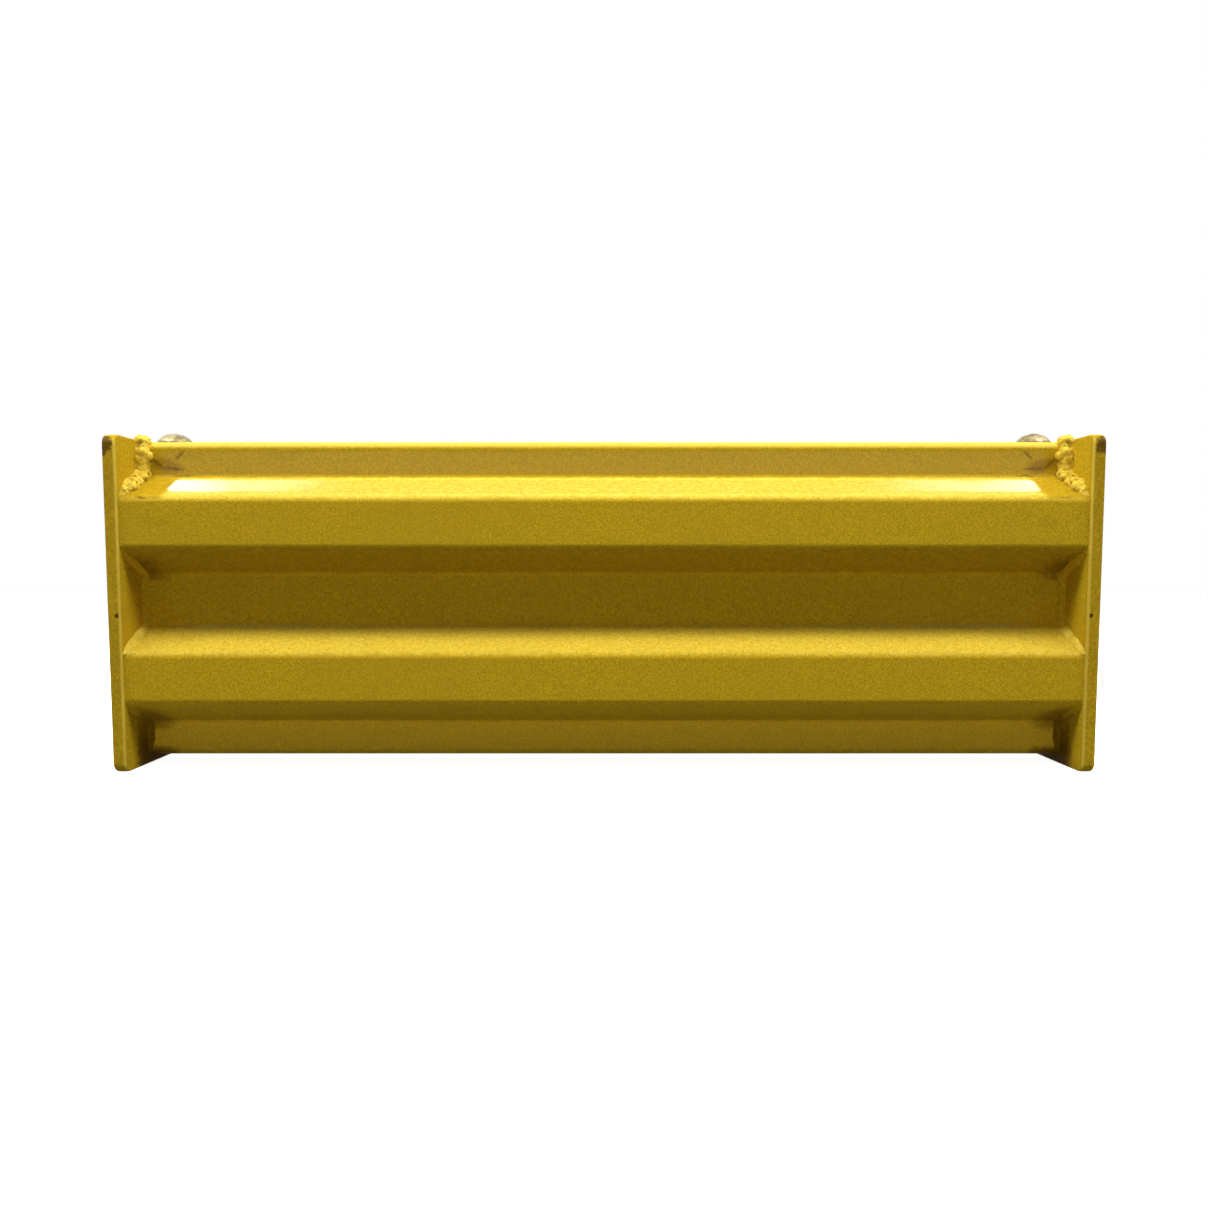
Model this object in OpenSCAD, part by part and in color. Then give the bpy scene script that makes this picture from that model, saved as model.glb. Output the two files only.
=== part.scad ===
// Corrugated steel guard rail section with a plate welded across each end. Sizes in millimetres.
// X runs along the rail, the ribbed front faces -Y, Z is up and the plates stand on z = 0.

/* [Rail] */
// Length over the outer faces of the two end plates
rail_length = 914; // [500:1:2500]
// Thickness of the formed sheet
sheet_t = 3; // [2:0.25:5]
// How far a rib face stands in front of the flats
rib_depth = 40; // [28:1:60]
// Height of a rib face between its fold lines
rib_face = 45; // [30:0.5:70]
// Height taken up by each sloping side of a rib
rib_slope = 23; // [15:0.1:40]
// Height of the flat between the two ribs
middle_flat = 53; // [36:0.1:80]
// Height of the top flat and of the bottom flat
edge_flat = 34.9; // [28:0.1:60]
// Depth of the top and bottom lips behind the front of the flats
lip_depth = 45; // [43:0.5:60]
// Inside radius of every bend
bend_r = 5; // [2:0.5:8]

/* [End plates] */
// Thickness of each end plate
plate_t = 12; // [8:0.5:20]
// Plate standing in front of the rib faces
plate_front = 2.5; // [1:0.25:8]
// Plate standing behind the rear edges of the lips
plate_rear = 14.5; // [8:0.5:40]
// Plate standing above the top of the rail
plate_above = 0.6; // [0.4:0.2:20]
// Plate reaching below the underside of the rail
plate_below = 7.6; // [2:0.2:30]
// Corner radius of a plate seen from its end
plate_corner = 9; // [3:0.5:12]
// Rounding along the upright edges of a plate
plate_ease = 2; // [0.5:0.25:3]

/* [Post bolt holes] */
// Diameter of a hole in an end plate
hole_d = 17.5; // [12:0.5:22]
// Distance between the two holes of a plate
hole_spacing = 203; // [120:1:230]
// Hole centre to the rear edge of the plate
hole_from_rear = 28; // [20:0.5:36]

/* [Welds] */
// Leg of the beads along the front of the sheet
weld_leg = 8; // [4:0.5:10]
// Leg of the beads behind the rib faces
back_weld_leg = 6; // [3:0.5:8]
// Sheet left bare at each outer fold
weld_stop = 3; // [2:0.5:8]
// Gap between two beads that run up to the same inner fold
weld_gap = 0.6; // [0.2:0.1:3]

/* [Lip bolts] */
// Diameter of a bolt
bolt_d = 15.9; // [10:0.1:17]
// Diameter of a round bolt head
head_d = 33; // [26:0.5:34]
// Height of a round bolt head
head_h = 11; // [6:0.5:12]
// Straight rim at the foot of a round head
head_rim = 1.5; // [0.5:0.25:3]
// Bolt length under the head
bolt_length = 32; // [28:1:50]
// Bolt centre to the inner face of the end plate
bolt_inset = 21; // [19:0.5:60]
// Bolt centre behind the front of the flats
bolt_back = 26; // [25:0.5:26]
// Room around a bolt in its hole
bolt_room = 0.8; // [0.3:0.1:1.5]
// Diameter of a washer
washer_d = 33; // [29:0.5:36]
// Thickness of a washer
washer_t = 3; // [1.5:0.25:4]
// Width of a nut across its flats
nut_af = 23.8; // [21:0.2:25]
// Height of a nut
nut_h = 14; // [9:0.5:16]

/* [Hidden] */
paint = [0.80, 0.62, 0.07];
zinc = [0.62, 0.60, 0.52];
bend_steps = 8;
bead_steps = 6;
bead_power = 1.4;
nut_room = 0.1;
past = 1;
$fn = 64;

// Derived sizes of the rail
rail_h = 2 * (edge_flat + rib_face + 2 * rib_slope) + middle_flat;
plate_h = plate_below + rail_h + plate_above;
plate_d = plate_front + rib_depth + lip_depth + plate_rear;
inner_x = rail_length / 2 - plate_t;
y_front = -plate_d / 2;
y_face = y_front + plate_front + sheet_t / 2;
y_flat = y_face + rib_depth;
y_lip_end = y_flat - sheet_t / 2 + lip_depth;
z_low = plate_below;
z_high = plate_below + rail_h;
fold_r = bend_r + sheet_t / 2;

// Middle line of the sheet from the rear of the top lip, down the front, to the rear of the bottom lip
z_1 = z_high - edge_flat;
z_2 = z_1 - rib_slope;
z_3 = z_2 - rib_face;
z_4 = z_3 - rib_slope;
z_5 = z_4 - middle_flat;
z_6 = z_5 - rib_slope;
z_7 = z_6 - rib_face;
z_8 = z_7 - rib_slope;
path = [
  [y_lip_end, z_high - sheet_t / 2],
  [y_flat, z_high - sheet_t / 2],
  [y_flat, z_1],
  [y_face, z_2],
  [y_face, z_3],
  [y_flat, z_4],
  [y_flat, z_5],
  [y_face, z_6],
  [y_face, z_7],
  [y_flat, z_8],
  [y_flat, z_low + sheet_t / 2],
  [y_lip_end, z_low + sheet_t / 2]
];
last = len(path) - 1;

// Runs of the path that carry welds
top_flat_run = 1;
upper_top_run = 2;
upper_face_run = 3;
upper_bottom_run = 4;
middle_run = 5;
lower_top_run = 6;
lower_face_run = 7;
lower_bottom_run = 8;
bottom_flat_run = 9;

// Direction of a run, the side behind it, and the signed turn where two runs meet
function run_dir(i) = (path[i + 1] - path[i]) / norm(path[i + 1] - path[i]);
function behind(d) = [-d[1], d[0]];
function turned(d, a) = [d[0] * cos(a) - d[1] * sin(a), d[0] * sin(a) + d[1] * cos(a)];
function turn_at(i) = atan2(cross(run_dir(i - 1), run_dir(i)), run_dir(i - 1) * run_dir(i));
function fold_start(i) = fold_r * tan(abs(turn_at(i)) / 2);

// Points of one bend, shifted sideways by s from the middle line
function fold_point(i, k, s) =
  let (
    d = run_dir(i - 1),
    way = sign(turn_at(i)),
    centre = path[i] - d * fold_start(i) + behind(d) * way * fold_r
  )
  centre - behind(turned(d, turn_at(i) * k / bend_steps)) * way * (fold_r - way * s);

function sheet_side(s) = concat(
  [path[0] + behind(run_dir(0)) * s],
  [for (i = [1 : last - 1]) for (k = [0 : bend_steps]) fold_point(i, k, s)],
  [path[last] + behind(run_dir(last - 1)) * s]
);

function backwards(list) = [for (i = [len(list) - 1 : -1 : 0]) list[i]];

// Bare length at the end of a bead: side is -1 on the front of the sheet and 1 behind it
function bead_margin(i, side, leg) =
  sign(turn_at(i)) == side
    ? max(fold_start(i), leg * tan(abs(turn_at(i)) / 2)) + weld_gap
    : fold_start(i) + weld_stop;

module along_x(length) {
  rotate([90, 0, 90])
    linear_extrude(length)
      children();
}

module on_right() {
  mirror([1, 0, 0])
    children();
}

module bead_section(leg) {
  polygon(concat(
    [[0, 0]],
    [for (k = [0 : bead_steps])
      let (a = 90 * k / bead_steps)
      [leg * pow(cos(a), bead_power), leg * pow(sin(a), bead_power)]]
  ));
}

// Bead between the left plate and one straight run of the sheet
module bead(run, side, leg) {
  from = bead_margin(run, side, leg);
  to = norm(path[run + 1] - path[run]) - bead_margin(run + 1, side, leg);
  d = run_dir(run);
  way = -side * d;
  start = path[run] + d * (side < 0 ? from : to) + behind(d) * side * sheet_t / 2;
  translate([-inner_x, start[0], start[1]])
    rotate([atan2(-way[0], way[1]), 0, 0])
      linear_extrude(to - from)
        bead_section(leg);
}

module front_bead(run) {
  color(paint)
    bead(run, -1, weld_leg);
}

module back_bead(run) {
  color(paint)
    bead(run, 1, back_weld_leg);
}

module at_left_bolt(z) {
  translate([-inner_x + bolt_inset, y_flat - sheet_t / 2 + bolt_back, z])
    children();
}

// The corrugated rail: one formed sheet with a bolt hole at each end of the top lip
module rail_beam() {
  color(paint)
    difference() {
      translate([-inner_x, 0, 0])
        along_x(2 * inner_x)
          polygon(concat(sheet_side(sheet_t / 2), backwards(sheet_side(-sheet_t / 2))));
      lip_bore();
      on_right()
        lip_bore();
    }
}

module lip_bore() {
  at_left_bolt(z_high - sheet_t - past)
    cylinder(d = bolt_d + 2 * bolt_room, h = sheet_t + 2 * past);
}

// Outline of a plate: a rectangle with round corners
module rounded_outline(w, h, r) {
  translate([-w / 2 + r, -h / 2])
    square([w - 2 * r, h]);
  translate([-w / 2, -h / 2 + r])
    square([w, h - 2 * r]);
  for (x = [-1, 1])
    for (y = [-1, 1])
      translate([x * (w / 2 - r), y * (h / 2 - r)])
        circle(r);
}

module left_end_plate() {
  color(paint)
    difference() {
      intersection() {
        translate([-rail_length / 2, 0, plate_h / 2])
          along_x(plate_t)
            rounded_outline(plate_d, plate_h, plate_corner);
        translate([-rail_length / 2 + plate_t / 2, 0, -past])
          linear_extrude(plate_h + 2 * past)
            rounded_outline(plate_t, plate_d, plate_ease);
      }
      for (side = [-1, 1])
        translate([-rail_length / 2 - past, plate_d / 2 - hole_from_rear, plate_h / 2 + side * hole_spacing / 2])
          rotate([0, 90, 0])
            cylinder(d = hole_d, h = plate_t + 2 * past);
    }
}

module right_end_plate() {
  on_right()
    left_end_plate();
}

module left_weld_top_flat() {
  front_bead(top_flat_run);
}

module left_weld_upper_rib_top() {
  front_bead(upper_top_run);
}

module left_weld_upper_rib_bottom() {
  front_bead(upper_bottom_run);
}

module left_weld_middle_flat() {
  front_bead(middle_run);
}

module left_weld_lower_rib_top() {
  front_bead(lower_top_run);
}

module left_weld_lower_rib_bottom() {
  front_bead(lower_bottom_run);
}

module left_weld_bottom_flat() {
  front_bead(bottom_flat_run);
}

module left_back_weld_upper_rib() {
  back_bead(upper_face_run);
}

module left_back_weld_lower_rib() {
  back_bead(lower_face_run);
}

module right_weld_top_flat() {
  on_right()
    left_weld_top_flat();
}

module right_weld_upper_rib_top() {
  on_right()
    left_weld_upper_rib_top();
}

module right_weld_upper_rib_bottom() {
  on_right()
    left_weld_upper_rib_bottom();
}

module right_weld_middle_flat() {
  on_right()
    left_weld_middle_flat();
}

module right_weld_lower_rib_top() {
  on_right()
    left_weld_lower_rib_top();
}

module right_weld_lower_rib_bottom() {
  on_right()
    left_weld_lower_rib_bottom();
}

module right_weld_bottom_flat() {
  on_right()
    left_weld_bottom_flat();
}

module right_back_weld_upper_rib() {
  on_right()
    left_back_weld_upper_rib();
}

module right_back_weld_lower_rib() {
  on_right()
    left_back_weld_lower_rib();
}

// Round head: a low dome on a short straight rim
module round_head() {
  dome_h = head_h - head_rim;
  dome_r = (pow(head_d / 2, 2) + pow(dome_h, 2)) / (2 * dome_h);
  edge_angle = asin(head_d / 2 / dome_r);
  rotate_extrude()
    polygon(concat(
      [[0, 0], [head_d / 2, 0]],
      [for (k = [bend_steps : -1 : 0])
        let (a = edge_angle * k / bend_steps)
        [dome_r * sin(a), head_h - dome_r + dome_r * cos(a)]]
    ));
}

module left_lip_bolt() {
  color(zinc)
    at_left_bolt(z_high) {
      round_head();
      translate([0, 0, -bolt_length])
        cylinder(d = bolt_d, h = bolt_length);
    }
}

module left_lip_washer() {
  color(zinc)
    at_left_bolt(z_high - sheet_t - washer_t)
      difference() {
        cylinder(d = washer_d, h = washer_t);
        translate([0, 0, -past])
          cylinder(d = bolt_d + 2 * bolt_room, h = washer_t + 2 * past);
      }
}

module left_lip_nut() {
  color(zinc)
    at_left_bolt(z_high - sheet_t - washer_t - nut_h)
      difference() {
        cylinder(d = nut_af / cos(30), h = nut_h, $fn = 6);
        translate([0, 0, -past])
          cylinder(d = bolt_d + 2 * nut_room, h = nut_h + 2 * past);
      }
}

module right_lip_bolt() {
  on_right()
    left_lip_bolt();
}

module right_lip_washer() {
  on_right()
    left_lip_washer();
}

module right_lip_nut() {
  on_right()
    left_lip_nut();
}

rail_beam();
left_end_plate();
right_end_plate();
left_weld_top_flat();
left_weld_upper_rib_top();
left_weld_upper_rib_bottom();
left_weld_middle_flat();
left_weld_lower_rib_top();
left_weld_lower_rib_bottom();
left_weld_bottom_flat();
left_back_weld_upper_rib();
left_back_weld_lower_rib();
right_weld_top_flat();
right_weld_upper_rib_top();
right_weld_upper_rib_bottom();
right_weld_middle_flat();
right_weld_lower_rib_top();
right_weld_lower_rib_bottom();
right_weld_bottom_flat();
right_back_weld_upper_rib();
right_back_weld_lower_rib();
left_lip_bolt();
left_lip_washer();
left_lip_nut();
right_lip_bolt();
right_lip_washer();
right_lip_nut();
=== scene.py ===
import bpy
import bmesh
import math
import random
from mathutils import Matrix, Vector


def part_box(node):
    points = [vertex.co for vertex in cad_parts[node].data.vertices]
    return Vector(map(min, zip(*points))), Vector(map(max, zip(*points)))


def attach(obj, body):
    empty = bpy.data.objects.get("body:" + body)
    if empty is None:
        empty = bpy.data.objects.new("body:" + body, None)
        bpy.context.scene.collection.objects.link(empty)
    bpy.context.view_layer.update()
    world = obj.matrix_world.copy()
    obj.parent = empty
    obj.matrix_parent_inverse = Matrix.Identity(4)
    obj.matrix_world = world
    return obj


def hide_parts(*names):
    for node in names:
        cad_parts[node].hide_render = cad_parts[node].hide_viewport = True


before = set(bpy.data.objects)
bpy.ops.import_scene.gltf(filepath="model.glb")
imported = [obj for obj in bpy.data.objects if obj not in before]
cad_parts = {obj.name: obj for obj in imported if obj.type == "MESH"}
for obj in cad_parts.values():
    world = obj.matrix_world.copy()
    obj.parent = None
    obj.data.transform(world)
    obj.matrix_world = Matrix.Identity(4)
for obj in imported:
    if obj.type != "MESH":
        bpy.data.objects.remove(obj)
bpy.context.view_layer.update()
print("frame loaded:", len(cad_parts), "nodes")

scene = bpy.context.scene
scene.view_settings.view_transform = "Standard"

railLow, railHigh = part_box("rail_beam")
plateLow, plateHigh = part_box("left_end_plate")
innerX = railHigh.x  # inner faces of the plates
outerX = -plateLow.x
intoPlate = Vector((-1, 0, 0))  # at the left end, where pieces are made before they are mirrored
roundSides = 48  # facets round a bore or a bar
tiny = 1e-6


def deselectAll():
    if bpy.context.mode != "OBJECT":
        bpy.ops.object.mode_set(mode="OBJECT")
    bpy.ops.object.select_all(action="DESELECT")


def makeActive(piece):
    deselectAll()
    piece.select_set(True)
    bpy.context.view_layer.objects.active = piece


def newPiece(name):
    piece = bpy.context.active_object
    piece.name = name
    piece.data.name = name
    return piece


def settle(piece):
    makeActive(piece)
    bpy.ops.object.transform_apply(location=True, rotation=True, scale=True)


def applyModifier(piece, kind, **settings):
    makeActive(piece)
    modifier = piece.modifiers.new(kind.lower(), kind)
    for key, value in settings.items():
        setattr(modifier, key, value)
    bpy.ops.object.modifier_apply(modifier=modifier.name)


def startEdit(piece, selectMode):
    makeActive(piece)
    bpy.ops.object.mode_set(mode="EDIT")
    bpy.ops.mesh.select_mode(type=selectMode)
    bpy.ops.mesh.select_all(action="DESELECT")


def endEdit():
    bpy.ops.object.mode_set(mode="OBJECT")


def pickEdges(piece, test):
    mesh = bmesh.from_edit_mesh(piece.data)
    for edge in mesh.edges:
        edge.select_set(test(edge))
    mesh.select_flush_mode()
    bmesh.update_edit_mesh(piece.data)


def pickFaces(piece, test):
    mesh = bmesh.from_edit_mesh(piece.data)
    for face in mesh.faces:
        face.select_set(test(face))
    mesh.select_flush_mode()
    bmesh.update_edit_mesh(piece.data)


def roundEdges(piece, width, degrees):
    applyModifier(
        piece, "BEVEL", width=width, segments=2, limit_method="ANGLE", angle_limit=math.radians(degrees)
    )


def smoothByAngle(piece, degrees):
    makeActive(piece)
    bpy.ops.object.shade_smooth_by_angle(angle=math.radians(degrees))


def cutAway(piece, point, normal):
    startEdit(piece, "FACE")
    bpy.ops.mesh.select_all(action="SELECT")
    bpy.ops.mesh.bisect(plane_co=point, plane_no=normal, use_fill=True, clear_inner=True)
    endEdit()


def subtract(piece, tool):
    applyModifier(piece, "BOOLEAN", operation="DIFFERENCE", object=tool, solver="EXACT")
    bpy.data.objects.remove(tool)


def mirrorCopy(piece, name):
    makeActive(piece)
    bpy.ops.object.duplicate()
    copy = newPiece(name)
    copy.scale.x = -1
    settle(copy)
    startEdit(copy, "FACE")
    bpy.ops.mesh.select_all(action="SELECT")
    bpy.ops.mesh.normals_make_consistent(inside=False)
    endEdit()
    return copy


# Folded sheet, drawn along the middle of its thickness
rail = {
    "sheet": 0.003,
    "bendRadius": 0.005,
    "edgeFlat": 0.0349,
    "ribSlope": 0.023,
    "ribFace": 0.045,
    "middleFlat": 0.053,
    "ribDepth": 0.040,
    "bendSegments": 8,
    "lengthCuts": 24,
    "boreRadius": 0.00875,
    "rawEdge": 0.0004,
    "leastTurn": 30,  # degrees at a fold: the ribs' folds are under the steep turn, the lips' over it
    "steepTurn": 75,
}

half = rail["sheet"] / 2
faceY = railLow.y + half
flatY = faceY + rail["ribDepth"]
lipY = railHigh.y
foldZ = [railHigh.z - rail["edgeFlat"]]
for drop in ("ribSlope", "ribFace", "ribSlope", "middleFlat", "ribSlope", "ribFace", "ribSlope"):
    foldZ.append(foldZ[-1] - rail[drop])

# Fold lines from the rear of the top lip, down the front, to the rear of the bottom lip
foldLine = [Vector((0, lipY, railHigh.z - half)), Vector((0, flatY, railHigh.z - half))]
for depth, height in zip((flatY, faceY, faceY, flatY) * 2, foldZ):
    foldLine.append(Vector((0, depth, height)))
foldLine += [Vector((0, flatY, railLow.z + half)), Vector((0, lipY, railLow.z + half))]


def foldReach(turn):
    return (rail["bendRadius"] + half) * math.tan(turn / 2)


def runsAlongRail(edge):
    a, b = edge.verts
    return abs(a.co.y - b.co.y) < tiny and abs(a.co.z - b.co.z) < tiny


def foldEdges(piece, steep):
    def isFold(edge):
        if edge.is_boundary or not runsAlongRail(edge):
            return False
        turn = math.degrees(edge.calc_face_angle(0))
        if steep:
            return turn > rail["steepTurn"]
        return rail["leastTurn"] < turn <= rail["steepTurn"]
    pickEdges(piece, isFold)


def makeRail():
    deselectAll()
    bpy.ops.mesh.primitive_plane_add(size=1, location=(0, (lipY + flatY) / 2, foldLine[0].z))
    piece = newPiece("railSheet")
    bpy.ops.transform.resize(value=(2 * innerX, lipY - flatY, 1))
    settle(piece)
    startEdit(piece, "EDGE")
    pickEdges(piece, lambda edge: runsAlongRail(edge) and abs(edge.verts[0].co.y - flatY) < tiny)
    for begin, end in zip(foldLine[1:], foldLine[2:]):
        bpy.ops.mesh.extrude_region_move(TRANSFORM_OT_translate={"value": end - begin})
    bpy.ops.mesh.select_all(action="SELECT")
    bpy.ops.mesh.normals_make_consistent(inside=False)
    slopeTurn = math.atan2(rail["ribDepth"], rail["ribSlope"])
    for steep, turn in ((True, math.pi / 2), (False, slopeTurn)):
        foldEdges(piece, steep)
        bpy.ops.mesh.bevel(
            offset_type="OFFSET", offset=foldReach(turn), segments=rail["bendSegments"], affect="EDGES"
        )
    pickEdges(piece, runsAlongRail)
    bpy.ops.mesh.subdivide(number_cuts=rail["lengthCuts"])
    endEdit()
    applyModifier(piece, "SOLIDIFY", thickness=rail["sheet"], offset=0, use_even_offset=True)
    for side in ("left", "right"):
        low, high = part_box(side + "_lip_bolt")
        deselectAll()
        bpy.ops.mesh.primitive_cylinder_add(
            vertices=roundSides, radius=rail["boreRadius"], depth=4 * rail["sheet"],
            location=((low.x + high.x) / 2, (low.y + high.y) / 2, foldLine[0].z),
        )
        subtract(piece, newPiece("boreTool"))
    roundEdges(piece, rail["rawEdge"], 60)
    smoothByAngle(piece, 35)
    applyModifier(piece, "WEIGHTED_NORMAL", keep_sharp=True)
    return piece


plate = {
    "cornerRadius": 0.009,
    "cornerSegments": 8,
    "edgeRound": 0.0018,
    "edgeSegments": 4,
    "holeRadius": 0.00875,
    "holeSpacing": 0.203,
    "holeFromRear": 0.028,
}


def makeLeftPlate():
    size = plateHigh - plateLow
    middle = (plateLow + plateHigh) / 2
    deselectAll()
    bpy.ops.mesh.primitive_cube_add(size=1, location=middle)
    piece = newPiece("leftPlate")
    bpy.ops.transform.resize(value=size)
    settle(piece)
    startEdit(piece, "EDGE")
    pickEdges(piece, lambda edge: abs((edge.verts[0].co - edge.verts[1].co).x) > size.x / 2)
    bpy.ops.mesh.bevel(
        offset_type="OFFSET", offset=plate["cornerRadius"], segments=plate["cornerSegments"], affect="EDGES"
    )
    bpy.ops.mesh.select_all(action="DESELECT")
    bpy.ops.mesh.edges_select_sharp(sharpness=math.radians(40))
    bpy.ops.mesh.bevel(
        offset_type="OFFSET", offset=plate["edgeRound"], segments=plate["edgeSegments"], affect="EDGES"
    )
    endEdit()
    holeY = plateHigh.y - plate["holeFromRear"]
    for way in (-1, 1):
        deselectAll()
        bpy.ops.mesh.primitive_cylinder_add(
            vertices=roundSides, radius=plate["holeRadius"], depth=2 * size.x, rotation=(0, math.pi / 2, 0),
            location=(middle.x, holeY, middle.z + way * plate["holeSpacing"] / 2),
        )
        subtract(piece, newPiece("drill"))
    smoothByAngle(piece, 35)
    applyModifier(piece, "WEIGHTED_NORMAL", keep_sharp=True)
    return piece


# One entry for each weld: leg is its size on plate and sheet, bare is sheet left clean at its two ends
# (less than none heaps it past the end), uneven is how it was laid, ragged how rough its skin is
welds = {
    "weld_top_flat": {
        "run": 1, "leg": 0.0096, "bare": (-0.003, 0), "uneven": 0.12, "ragged": 0.0026,
        "lumps": 15, "pits": 5, "letIn": 0.0024, "seed": 3,
    },
    "weld_upper_rib_top": {
        "run": 2, "leg": 0.0086, "bare": (0, 0.006), "uneven": 0.16, "ragged": 0.0034,
        "lumps": 15, "pits": 6, "seed": 11,
    },
    "weld_upper_rib_bottom": {
        "run": 4, "leg": 0.0050, "bare": (0.006, 0), "uneven": 0.03, "ragged": 0.0008, "seed": 23,
    },
    "weld_middle_flat": {
        "run": 5, "leg": 0.0056, "bare": (0, 0), "uneven": 0.03, "ragged": 0.0009, "seed": 31,
    },
    "weld_lower_rib_top": {
        "run": 6, "leg": 0.0054, "bare": (-0.002, 0.002), "uneven": 0.08, "ragged": 0.0013,
        "lumps": 3, "seed": 43,
    },
    "weld_lower_rib_bottom": {
        "run": 8, "leg": 0.0050, "bare": (0.006, 0), "uneven": 0.03, "ragged": 0.0008, "seed": 53,
    },
    "weld_bottom_flat": {
        "run": 9, "leg": 0.0056, "bare": (0, 0.005), "uneven": 0.04, "ragged": 0.0012, "seed": 61,
    },
    "back_weld_upper_rib": {
        "run": 3, "side": 1, "leg": 0.0048, "bare": (0, 0), "uneven": 0.05, "ragged": 0.0008, "seed": 71,
    },
    "back_weld_lower_rib": {
        "run": 7, "side": 1, "leg": 0.0048, "bare": (0, 0), "uneven": 0.05, "ragged": 0.0008, "seed": 83,
    },
}

# How a bead is laid: lump and pit sizes are shares of its leg, and leans are angles from the sheet
puddle = {
    "pitch": 0.0034,
    "length": 0.0048,
    "sunk": 0.5,  # part of a leg that each puddle's middle lies inside the corner
    "taper": 0.012,
    "endShare": 0.5,
    "voxel": 0.0007,
    "lumpSize": 0.0055,
    "grainSize": 0.0018,
    "grainShare": 0.3,
    "letIn": 0.0004,
    "lumpLean": (0.1, 1.5),
    "lumpOut": (0.65, 1.0),
    "lumpFlat": (0.7, 1),
    "lumpShort": (0.6, 1),
    "lumpRadius": (0.28, 0.55),
    "pitLean": (0.2, 1.3),
    "pitOut": 0.95,
    "pitRadius": (0.14, 0.24),
    "pitPlace": (0.3, 0.7),
    "segments": 24,
    "rings": 14,
}


def addPuddle(place, tilt, radius, scale):
    deselectAll()
    bpy.ops.mesh.primitive_uv_sphere_add(
        segments=puddle["segments"], ring_count=puddle["rings"], radius=radius,
        location=place, rotation=(tilt, 0, 0), scale=scale,
    )
    return bpy.context.active_object


def joinAs(name, pieces):
    deselectAll()
    for piece in pieces:
        piece.select_set(True)
    bpy.context.view_layer.objects.active = pieces[0]
    bpy.ops.object.join()
    piece = newPiece(name)
    settle(piece)
    return piece


def roughen(piece, size, strength):
    texture = bpy.data.textures.new("weldLumps", "CLOUDS")
    texture.noise_scale = size
    texture.noise_depth = 2
    applyModifier(
        piece, "DISPLACE", texture=texture, texture_coords="LOCAL", strength=strength, mid_level=0.5
    )


# Where a bead lies: along follows the sheet's fold line, out points away from the sheet
def beadPath(bead):
    begin, end = foldLine[bead["run"]], foldLine[bead["run"] + 1]
    length = (end - begin).length
    along = (end - begin) / length
    out = Vector((0, -along.z, along.y)) * bead.get("side", -1)
    return {
        "length": length,
        "start": bead["bare"][0],
        "laid": length - sum(bead["bare"]),
        "along": along,
        "out": out,
        "corner": begin + out * half + intoPlate * innerX,
        "tilt": math.atan2(-along.y, along.z),
    }


# A bead starts and ends thin where it stops short of the fold
def beadFade(bead, travel, length):
    thin = puddle["endShare"]
    fade = 1.0
    if bead["bare"][0] > 0:
        fade = min(fade, thin + (1 - thin) * (travel - bead["bare"][0]) / puddle["taper"])
    if bead["bare"][1] > 0:
        fade = min(fade, thin + (1 - thin) * (length - bead["bare"][1] - travel) / puddle["taper"])
    return fade


def wayOut(path, lean):
    return path["out"] * math.sin(lean) - intoPlate * math.cos(lean)


def layPuddles(bead, path, chance):
    puddles = []
    count = round(path["laid"] / puddle["pitch"])
    spread = math.hypot(1 + puddle["sunk"], puddle["sunk"])
    for step in range(count + 1):
        travel = path["start"] + path["laid"] * step / count
        leg = bead["leg"] * beadFade(bead, travel, path["length"])
        leg *= 1 + bead["uneven"] * chance.uniform(-1, 1)
        inset = (intoPlate - path["out"]) * leg * puddle["sunk"]
        place = path["corner"] + path["along"] * travel + inset
        radius = leg * spread
        puddles.append(addPuddle(place, path["tilt"], radius, (1, 1, puddle["length"] / radius)))
    return puddles


def layLumps(bead, path, chance):
    puddles = []
    lumps = bead.get("lumps", 0)
    for lump in range(lumps):
        travel = path["start"] + path["laid"] * (lump + chance.random()) / lumps
        way = wayOut(path, chance.uniform(*puddle["lumpLean"]))
        leg = bead["leg"] * beadFade(bead, travel, path["length"])
        place = path["corner"] + path["along"] * travel + way * leg * chance.uniform(*puddle["lumpOut"])
        scale = (1, chance.uniform(*puddle["lumpFlat"]), chance.uniform(*puddle["lumpShort"]))
        twist = path["tilt"] + chance.uniform(-1, 1)
        puddles.append(addPuddle(place, twist, leg * chance.uniform(*puddle["lumpRadius"]), scale))
    return puddles


def cutPits(piece, bead, path, chance):
    pits = bead.get("pits", 0)
    for pit in range(pits):
        travel = path["start"] + path["laid"] * (pit + chance.uniform(*puddle["pitPlace"])) / pits
        way = wayOut(path, chance.uniform(*puddle["pitLean"]))
        place = path["corner"] + path["along"] * travel + way * bead["leg"] * puddle["pitOut"]
        radius = bead["leg"] * chance.uniform(*puddle["pitRadius"])
        subtract(piece, addPuddle(place, 0, radius, (1, 1, 1)))


def makeLeftBead(name, bead):
    path = beadPath(bead)
    chance = random.Random(bead["seed"])
    puddles = layPuddles(bead, path, chance) + layLumps(bead, path, chance)
    piece = joinAs(name, puddles)
    applyModifier(piece, "REMESH", mode="VOXEL", voxel_size=puddle["voxel"])
    roughen(piece, puddle["lumpSize"], bead["ragged"])
    roughen(piece, puddle["grainSize"], bead["ragged"] * puddle["grainShare"])
    applyModifier(piece, "SMOOTH", factor=0.5, iterations=1)
    cutPits(piece, bead, path, chance)
    cutAway(piece, path["corner"] - path["out"] * bead.get("letIn", puddle["letIn"]), path["out"])
    cutAway(piece, path["corner"] + intoPlate * puddle["letIn"], -intoPlate)
    smoothByAngle(piece, 60)
    return piece


bolt = {
    "headRadius": 0.0165,
    "headRim": 0.0015,
    "shankRadius": 0.00795,
    "threadPitch": 0.0023,
    "threadDepth": 0.07,  # share of the shank's radius
    "edgeRound": 0.0005,
    "domeRings": 64,
}


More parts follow.
